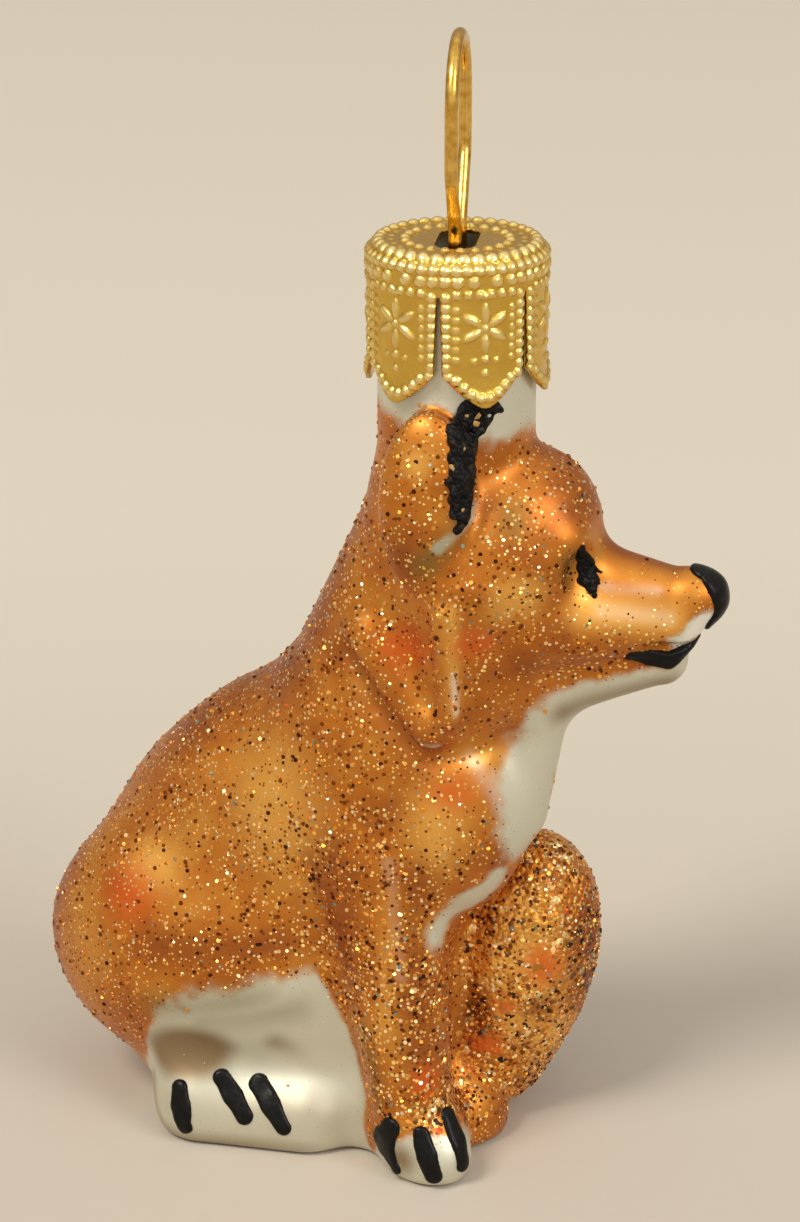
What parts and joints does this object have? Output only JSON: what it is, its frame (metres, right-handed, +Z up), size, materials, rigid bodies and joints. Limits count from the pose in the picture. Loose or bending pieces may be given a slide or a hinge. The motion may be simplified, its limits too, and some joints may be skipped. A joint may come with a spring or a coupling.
{
  "type": "fox ornament",
  "caption": "Sitting fox, a blown glass hanging ornament with a stamped crown cap and a wire hanger loop; it also stands on its flat underside.",
  "frame": {"origin": "on the ground under the neck's axis, on the flat underside between the forepaws", "axes": "+X where the fox's body faces, +Y the fox's left, +Z up along the neck"},
  "size_m": [0.0447, 0.0248, 0.073],
  "materials": {
    "lacquered_glass": "silvered inside, translucent orange lacquer with fine gold and copper glitter outside, bare silver-white at belly, chest and toes",
    "gold_cap": "stamped sheet, coloured gold",
    "gold_wire": "spring wire, plated gold",
    "black_enamel": "glossy black enamel, brushed on",
    "gritty_black_paint": "black paint with black glitter in it"
  },
  "bodies": {
    "figurine": {"glass_body": "lacquered_glass", "nose_paint": "black_enamel", "mouth_paint": "black_enamel", "right_eye_paint": "gritty_black_paint", "left_eye_paint": "gritty_black_paint", "right_ear_paint": "gritty_black_paint", "left_ear_paint": "gritty_black_paint", "forepaw_claw_paint": "black_enamel", "right_hind_claw_paint": "black_enamel"},
    "cap": {"ornament_cap": "gold_cap"},
    "hanger": {"hanger_wire": "gold_wire"}
  },
  "joints": [
    {"name": "cap_lift", "type": "slide", "parent": "figurine", "child": "cap", "axis": [0, 0, 1], "range_m": [0, 0.03]},
    {"name": "hanger_pull", "type": "slide", "parent": "cap", "child": "hanger", "axis": [0, 0, 1], "range_m": [0, 0.003]}
  ]
}
